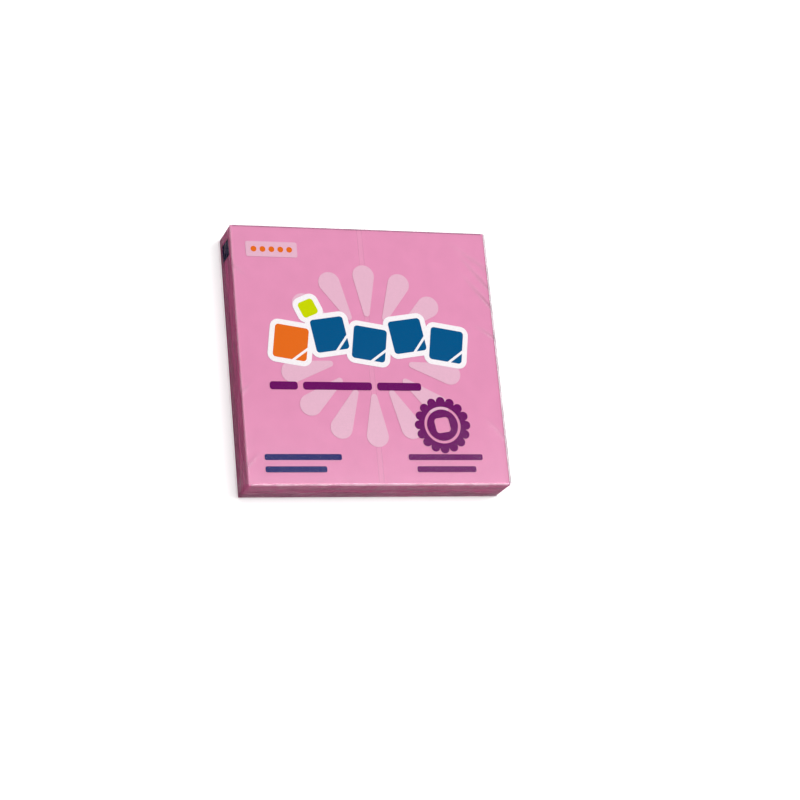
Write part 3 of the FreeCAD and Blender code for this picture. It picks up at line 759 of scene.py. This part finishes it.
def sleeve_row(profile, x, settings):
    """A row of points round the sleeve."""
    row = []
    for y, z, across, up, panel, _ in profile:
        lift = sleeve_lift(x, y, z, panel, settings)
        bend = 2 * abs(across * up)
        # The bends of the face and of the base carry a painted highlight.
        fold = bend * (FACE_BEND_HIGHLIGHT if up > 0 else BASE_BEND_HIGHLIGHT)
        # The near bend of the face carries a painted highlight.
        if across < 0 < up:
            fold = NEAR_BEND_HIGHLIGHT * bend * up * up
        # A side's haze is painted lighter towards the top.
        if up == 0:
            rise = smooth_step((z - FILM_HIGH.z + 5.5 * MM) / (4.5 * MM))
            fold = mixed(*SIDE_HAZE_AND_LIGHT, rise)
        seam = mixed(*SEAM_HAZE, smooth_step(z / settings.lap_top))
        fold += seam * max(0.0, -across) ** 2
        # A painted highlight runs along the free edge of the seam.
        if panel == "near_outer" and z > settings.lap_top - 0.2 * MM:
            fold = SEAM_EDGE_HIGHLIGHT
        outer = seen_on_sleeve(z, panel, settings)
        # How strong the painted white streaks and glints are on this panel.
        pulled = SIDE_STREAKS_AND_GLINTS.get(panel, 0.0)
        # Painted shade along the face's creases and on the bend at the far side of the face.
        shade = crease_shade(x, y) if panel == "top" else 0.0
        if across > 0 and up > 0:
            shade = BEND_PAINTED_SHADE * bend
        row.append((x, y + across * lift, z + up * lift, fold, outer, pulled, shade))
    return row


# The tape's room under the film, and its height over the top note on the face.
TAPE_ROOM = 0.02 * MM
TAPE_RISE = 0.05 * MM
# The print lies 0.08 mm over the top note, and its layers are thinner than their solids.
PRINT_GAP = 0.08 * MM
INK_SQUEEZE = 0.4
# How far the print and the tape on the face follow the film that lifts over them.
FOLLOWING = 0.7


def tape_row(profile, x, settings):
    """A row of points of the tape, which lies under the print on the face and against the film
    everywhere else."""
    side_inset = settings.thickness + TAPE_ROOM
    face_inset = FILM_HIGH.z - NOTES_HIGH.z - TAPE_RISE
    row = []
    for y, z, across, up, panel, _ in profile:
        lift = sleeve_lift(x, y, z, panel, settings)
        rise = lift - side_inset if up <= 0 else FOLLOWING * lift - face_inset
        row.append((x, y + across * (lift - side_inset), z + up * rise, 0.0, 1.0, 0.0, 0.0))
    return row


def grid_mesh(name, rows):
    """A mesh from rows of points and their values, with the doubles of its collapsed rows
    merged."""
    width = len(rows[0])
    points = [point for row in rows for point in row]
    corners = [i * width + j for i in range(len(rows) - 1) for j in range(width - 1)]
    faces = [(a, a + width, a + width + 1, a + 1) for a in corners]
    mesh = bpy.data.meshes.new(name)
    mesh.from_pydata([point[:3] for point in points], [], faces)
    for place, attribute in enumerate(FILM_VALUES, 3):
        values = mesh.attributes.new(attribute, "FLOAT", "POINT")
        values.data.foreach_set("value", [point[place] for point in points])
    work = bmesh.new()
    work.from_mesh(mesh)
    bmesh.ops.remove_doubles(work, verts=work.verts, dist=0.0005 * MM)
    bmesh.ops.dissolve_degenerate(work, dist=0.0005 * MM, edges=work.edges)
    highest = max(work.faces, key=lambda face: face.calc_center_median().z)
    if highest.normal.z < 0:
        bmesh.ops.reverse_faces(work, faces=work.faces)
    work.to_mesh(mesh)
    work.free()
    return mesh


def link_piece(name, mesh, materials=()):
    """An object at the origin that holds the mesh."""
    piece = bpy.data.objects.new(name, mesh)
    for material in materials:
        mesh.materials.append(material)
    bpy.context.scene.collection.objects.link(piece)
    return piece


def apply_modifiers(piece):
    """Turns the evaluated object into a plain mesh and drops its modifiers."""
    graph = bpy.context.evaluated_depsgraph_get()
    graph.update()
    mesh = bpy.data.meshes.new_from_object(piece.evaluated_get(graph))
    piece.modifiers.clear()
    piece.data = mesh
    return mesh


def shade(mesh, angle):
    """Smooth shading with sharp edges past an angle in degrees."""
    mesh.shade_smooth()
    mesh.set_sharp_from_angle(angle=math.radians(angle))


def declare(piece, node):
    """The piece rides with the pad and stands for its node."""
    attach(piece, "root")
    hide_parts(node)


def film_piece(name, rows, thickness, material):
    """A piece of film with its wall, from rows of points of its outer face."""
    piece = link_piece(name, grid_mesh(name, rows), [material])
    wall = piece.modifiers.new("Wall", "SOLIDIFY")
    wall.thickness = thickness
    wall.offset = -1.0
    shade(apply_modifiers(piece), 50)
    return piece


def stack_tree(face_paper, edge_paper):
    """Geometry nodes for the stack: a line of thin sheets, each a little out of place."""
    tree = bpy.data.node_groups.new("Note stack", "GeometryNodeTree")
    sockets = {
        "Sheets": "NodeSocketInt", "Step": "NodeSocketFloat", "Sheet size": "NodeSocketVector",
        "First sheet": "NodeSocketVector", "Slip": "NodeSocketVector", "Turn": "NodeSocketFloat",
    }
    for name, kind in sockets.items():
        tree.interface.new_socket(name=name, in_out="INPUT", socket_type=kind)
    tree.interface.new_socket(name="Geometry", in_out="OUTPUT", socket_type="NodeSocketGeometry")
    given = add_node(tree, "NodeGroupInput").outputs
    rise = add_node(tree, "ShaderNodeCombineXYZ", {"Z": given["Step"]}).outputs["Vector"]
    line = add_node(
        tree, "GeometryNodeMeshLine",
        {"Count": given["Sheets"], "Start Location": given["First sheet"], "Offset": rise},
    )
    back = add_node(
        tree, "ShaderNodeVectorMath", {0: given["Slip"], "Scale": -1.0}, operation="SCALE"
    )
    slipped = add_node(
        tree, "FunctionNodeRandomValue",
        {"Min": back.outputs["Vector"], "Max": given["Slip"], "Seed": 11}, data_type="FLOAT_VECTOR",
    )
    placed = add_node(
        tree, "GeometryNodeSetPosition",
        {"Geometry": line.outputs["Mesh"], "Offset": slipped.outputs["Value"]},
    )
    sheet = add_node(tree, "GeometryNodeMeshCube", {"Size": given["Sheet size"]}).outputs["Mesh"]
    less = add_node(tree, "ShaderNodeMath", {0: given["Turn"], 1: -1.0}, operation="MULTIPLY")
    turned = add_node(
        tree, "FunctionNodeRandomValue", {2: less.outputs["Value"], 3: given["Turn"], "Seed": 23},
        data_type="FLOAT",
    )
    spin = add_node(tree, "ShaderNodeCombineXYZ", {"Z": turned.outputs[1]}).outputs["Vector"]
    sheets = add_node(
        tree, "GeometryNodeInstanceOnPoints",
        {"Points": placed.outputs["Geometry"], "Instance": sheet, "Rotation": spin},
    )
    tone = add_node(tree, "FunctionNodeRandomValue", {"Seed": 5}, data_type="FLOAT").outputs[1]
    toned = add_node(
        tree, "GeometryNodeStoreNamedAttribute",
        {"Geometry": sheets.outputs["Instances"], "Name": "sheet_tone", "Value": tone},
        data_type="FLOAT", domain="INSTANCE",
    )
    real = add_node(tree, "GeometryNodeRealizeInstances", {"Geometry": toned.outputs["Geometry"]})
    edges = add_node(
        tree, "GeometryNodeSetMaterial",
        {"Geometry": real.outputs["Geometry"], "Material": edge_paper},
    )
    normal = add_node(tree, "GeometryNodeInputNormal").outputs["Normal"]
    upward = add_node(tree, "ShaderNodeSeparateXYZ", {"Vector": normal}).outputs["Z"]
    level = add_node(tree, "ShaderNodeMath", {0: upward}, operation="ABSOLUTE")
    flat = add_node(
        tree, "ShaderNodeMath", {0: level.outputs["Value"], 1: 0.5}, operation="GREATER_THAN"
    ).outputs["Value"]
    faces = add_node(
        tree, "GeometryNodeSetMaterial",
        {"Geometry": edges.outputs["Geometry"], "Selection": flat, "Material": face_paper},
    )
    add_node(tree, "NodeGroupOutput", {"Geometry": faces.outputs["Geometry"]})
    return tree


def run_tree(name, tree, values):
    """A plain mesh object from a geometry node tree with the named inputs."""
    piece = link_piece(name, bpy.data.meshes.new(name))
    modifier = piece.modifiers.new("Build", "NODES")
    modifier.node_group = tree
    for item in tree.interface.items_tree:
        if item.name in values:
            modifier[item.identifier] = values[item.name]
    apply_modifiers(piece)
    return piece


def cut_on_grid(work, step):
    """Cuts a flat mesh along an even grid, so that it can follow the film."""
    for axis, normal in enumerate((Vector((1.0, 0.0, 0.0)), Vector((0.0, 1.0, 0.0)))):
        low = min(vertex.co[axis] for vertex in work.verts)
        high = max(vertex.co[axis] for vertex in work.verts)
        place = math.ceil(low / step) * step
        while place < high:
            everything = [*work.verts, *work.edges, *work.faces]
            bmesh.ops.bisect_plane(
                work, geom=everything, dist=0.0001 * MM, plane_co=normal * place, plane_no=normal
            )
            place += step


def following_piece(node, name, material, settings, step=1.5 * MM):
    """A copy of a flat printed node, as thin as ink, that rises wherever the film lifts."""
    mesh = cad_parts[node].data.copy()
    mesh.materials.clear()
    work = bmesh.new()
    work.from_mesh(mesh)
    bmesh.ops.remove_doubles(work, verts=work.verts, dist=0.001 * MM)
    bmesh.ops.dissolve_limit(work, angle_limit=math.radians(0.5), verts=work.verts, edges=work.edges)
    cut_on_grid(work, step)
    bmesh.ops.triangulate(work, faces=[face for face in work.faces if len(face.verts) > 4])
    for vertex in work.verts:
        level = (vertex.co.z - PRINT_LOW.z) * INK_SQUEEZE
        lift = FOLLOWING * face_lift(vertex.co.x, vertex.co.y, settings)
        vertex.co.z = NOTES_HIGH.z + PRINT_GAP + level + max(0.0, lift)
    work.to_mesh(mesh)
    work.free()
    shade(mesh, 40)
    return link_piece(name, mesh, [material])


class PAD_OT_note_stack(bpy.types.Operator):
    """Builds the stack of notes, sheet by sheet."""

    bl_idname = "pad.note_stack"
    bl_label = "Note stack"

    def execute(self, context):
        settings = context.scene.note_stack
        step = (NOTES_HIGH.z - NOTES_LOW.z) / settings.sheets
        sheet = step * settings.sheet_share
        tree = stack_tree(note_paper(settings), cut_edge_paper(settings))
        values = {
            "Sheets": settings.sheets, "Step": step,
            "Sheet size": (NOTES_HIGH.x - NOTES_LOW.x, NOTES_HIGH.y - NOTES_LOW.y, sheet),
            "First sheet": (0.0, 0.0, NOTES_LOW.z + step - sheet / 2),
            "Slip": (settings.slip, settings.slip, 0.0), "Turn": settings.turn,
        }
        piece = run_tree("note_stack", tree, values)
        declare(piece, "note_block")
        return {"FINISHED"}


class PAD_OT_backing(bpy.types.Operator):
    """Gives the sheet under the notes its paper."""

    bl_idname = "pad.backing"
    bl_label = "Backing sheet"

    def execute(self, context):
        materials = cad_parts["backing_sheet"].data.materials
        materials.clear()
        materials.append(release_paper(context.scene.note_stack))
        return {"FINISHED"}


class PAD_OT_film(bpy.types.Operator):
    """Folds the film round the pad."""

    bl_idname = "pad.film"
    bl_label = "Film wrap"

    def execute(self, context):
        settings = context.scene.film
        rows = film_rows(settings)
        piece = film_piece("folded_film", rows, settings.thickness, clear_film(settings))
        declare(piece, "film_wrap")
        return {"FINISHED"}


class PAD_OT_tear_tape(bpy.types.Operator):
    """Lays the tear tape inside the film."""

    bl_idname = "pad.tear_tape"
    bl_label = "Tear tape"

    def execute(self, context):
        settings = context.scene.film
        profile = [point for point in sleeve_profile(settings) if point[4] != "near_outer"]
        columns = spaced(TAPE_LOW.x, TAPE_HIGH.x, 0.4 * MM)
        rows = [tape_row(profile, x, settings) for x in columns]
        piece = film_piece("clear_tape", rows, settings.tape_thickness, tear_tape_film())
        declare(piece, "tear_tape")
        return {"FINISHED"}


class PAD_OT_print(bpy.types.Operator):
    """Lays each ink against the inside of the film."""

    bl_idname = "pad.print"
    bl_label = "Print"

    def execute(self, context):
        settings = context.scene.inks
        for ink in ("tint", "white", "blue", "orange", "lime", "purple", "navy"):
            material = printing_ink(f"{ink.capitalize()} film ink", getattr(settings, ink))
            piece = following_piece(f"print_{ink}", f"{ink}_print", material, context.scene.film)
            declare(piece, f"print_{ink}")
        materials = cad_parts["eye_mark"].data.materials
        materials.clear()
        materials.append(printing_ink("Eye mark ink", settings.eye_mark))
        return {"FINISHED"}


def white_for_the_camera(tree, seen, shaded):
    """One shader for what the camera, mirrors and glass see, another for the light it gives."""
    path = add_node(tree, "ShaderNodeLightPath").outputs
    eye = path["Is Camera Ray"]
    for ray in ("Is Glossy Ray", "Is Transmission Ray"):
        eye = add_node(
            tree, "ShaderNodeMath", {0: eye, 1: path[ray]}, operation="MAXIMUM"
        ).outputs["Value"]
    return add_node(tree, "ShaderNodeMixShader", {0: eye, 1: shaded, 2: seen})


def floor_material():
    """Plain pale paper sweep: white to the eye, with the pad's soft shadow kept."""
    material, tree = new_material("White paper sweep")
    grain = object_noise(tree, 40 * MM, detail=2.0)
    colour = varied_colour(tree, grain, linear("#fdfdfd"), linear("#ffffff"))
    paper = add_node(tree, "ShaderNodeBsdfDiffuse", {"Color": colour})
    glow = add_node(tree, "ShaderNodeEmission", {"Color": (1.0, 1.0, 1.0, 1.0), "Strength": 0.42})
    seen = add_node(
        tree, "ShaderNodeAddShader", {0: paper.outputs["BSDF"], 1: glow.outputs["Emission"]}
    )
    shaded = add_node(tree, "ShaderNodeBsdfDiffuse", {"Color": linear("#d8d4d2")})
    layered = white_for_the_camera(tree, seen.outputs["Shader"], shaded.outputs["BSDF"])
    add_node(tree, "ShaderNodeOutputMaterial", {"Surface": layered.outputs["Shader"]})
    return material


def add_floor():
    """A round floor that turns up into a low wall far behind. It lies a hair under the film, so
    that the two never share a plane."""
    floor_radius, wall_height, bend, level = 1.9, 0.9, 0.4, -0.02 * MM
    turns, bend_rings = 96, 8
    profile = [(r, level) for r in spaced(0.05, floor_radius, 0.2)]
    for i in range(1, bend_rings + 1):
        angle = math.pi / 2 * i / bend_rings
        profile.append((floor_radius + bend * math.sin(angle), bend * (1 - math.cos(angle))))
    profile.append((floor_radius + bend, wall_height))
    vertices = [(0.0, 0.0, level)]
    for radius, height in profile:
        for i in range(turns):
            angle = 2 * math.pi * i / turns
            vertices.append((radius * math.cos(angle), radius * math.sin(angle), height))
    faces = [(0, 1 + i, 1 + (i + 1) % turns) for i in range(turns)]
    for ring in range(len(profile) - 1):
        for i in range(turns):
            a, b = 1 + ring * turns + i, 1 + ring * turns + (i + 1) % turns
            faces.append((a, a + turns, b + turns, b))
    mesh = bpy.data.meshes.new("floor")
    mesh.from_pydata(vertices, [], faces)
    mesh.shade_smooth()
    floor = link_piece("floor", mesh, [floor_material()])


def add_area_lamp(name, place, size, irradiance, aimed):
    """A rectangular lamp that gives the pad's face this irradiance. It is aimed at the pad, or
    else faces straight down."""
    lamp = bpy.data.lights.new(name, "AREA")
    lamp.shape = "RECTANGLE"
    lamp.size, lamp.size_y = size
    place = Vector(place)
    slant = place.normalized().z
    lamp.energy = irradiance * math.pi * place.length_squared / slant
    holder = bpy.data.objects.new(name, lamp)
    holder.location = place
    if aimed:
        holder.rotation_mode = "QUATERNION"
        holder.rotation_quaternion = (-place).to_track_quat("-Z", "Y")
    else:
        lamp.energy /= slant
    bpy.context.scene.collection.objects.link(holder)


def add_camera(settings):
    """The camera of the photograph."""
    camera = bpy.data.cameras.new("camera")
    camera.lens = settings.lens
    camera.sensor_width = 36.0
    camera.clip_end = 10.0
    heading, elevation = settings.camera_heading, settings.camera_elevation
    level = math.cos(elevation)
    forward = Vector((level * math.sin(heading), level * math.cos(heading), -math.sin(elevation)))
    right = forward.cross(Vector(settings.camera_up)).normalized()
    up = right.cross(forward)
    turn = Matrix((right, up, -forward)).transposed().to_4x4()
    holder = bpy.data.objects.new("camera", camera)
    holder.matrix_world = Matrix.Translation(Vector(settings.camera_place)) @ turn
    bpy.context.scene.collection.objects.link(holder)
    bpy.context.scene.camera = holder


# Place and size of the front lamp, in metres.
FRONT_PLACE = (0.3, -0.75, 0.75)
FRONT_SIZE = (0.45, 0.45)


class PAD_OT_stage(bpy.types.Operator):
    """Sets up the floor, the lamps, the room light and the camera."""

    bl_idname = "pad.stage"
    bl_label = "Stage"

    def execute(self, context):
        settings = context.scene.stage
        add_floor()
        add_area_lamp("key", settings.key_place, settings.key_size, settings.key_light, False)
        add_area_lamp("front", FRONT_PLACE, FRONT_SIZE, settings.front_light, True)
        world = bpy.data.worlds.new("Room")
        world.use_nodes = True
        background = world.node_tree.nodes["Background"]
        background.inputs["Color"].default_value = (1.0, 1.0, 1.0, 1.0)
        background.inputs["Strength"].default_value = settings.room_light
        context.scene.world = world
        context.scene.view_settings.view_transform = "Standard"
        context.scene.cycles.transparent_max_bounces = 32
        add_camera(settings)
        return {"FINISHED"}


class VIEW3D_PT_note_pad(bpy.types.Panel):
    """Buttons for the pad's pieces and stage, with their settings."""

    bl_label = "Note Pad"
    bl_space_type = "VIEW_3D"
    bl_region_type = "UI"
    bl_category = "Note Pad"

    def draw(self, context):
        for step in STEPS:
            self.layout.operator(step.bl_idname)
        for name, group in SETTINGS.items():
            box = self.layout.box()
            for key in group.__annotations__:
                box.prop(getattr(context.scene, name), key)


STEPS = (
    PAD_OT_note_stack, PAD_OT_backing, PAD_OT_film, PAD_OT_tear_tape, PAD_OT_print, PAD_OT_stage
)


def register():
    for group in (*SETTINGS.values(), *STEPS, VIEW3D_PT_note_pad):
        bpy.utils.register_class(group)
    for name, group in SETTINGS.items():
        setattr(bpy.types.Scene, name, bpy.props.PointerProperty(type=group))


def unregister():
    for name in SETTINGS:
        delattr(bpy.types.Scene, name)
    for group in (VIEW3D_PT_note_pad, *reversed(STEPS), *reversed(SETTINGS.values())):
        bpy.utils.unregister_class(group)


def main():
    register()
    bpy.ops.pad.note_stack()
    bpy.ops.pad.backing()
    bpy.ops.pad.film()
    bpy.ops.pad.tear_tape()
    bpy.ops.pad.print()
    bpy.ops.pad.stage()


if __name__ == "__main__":
    main()
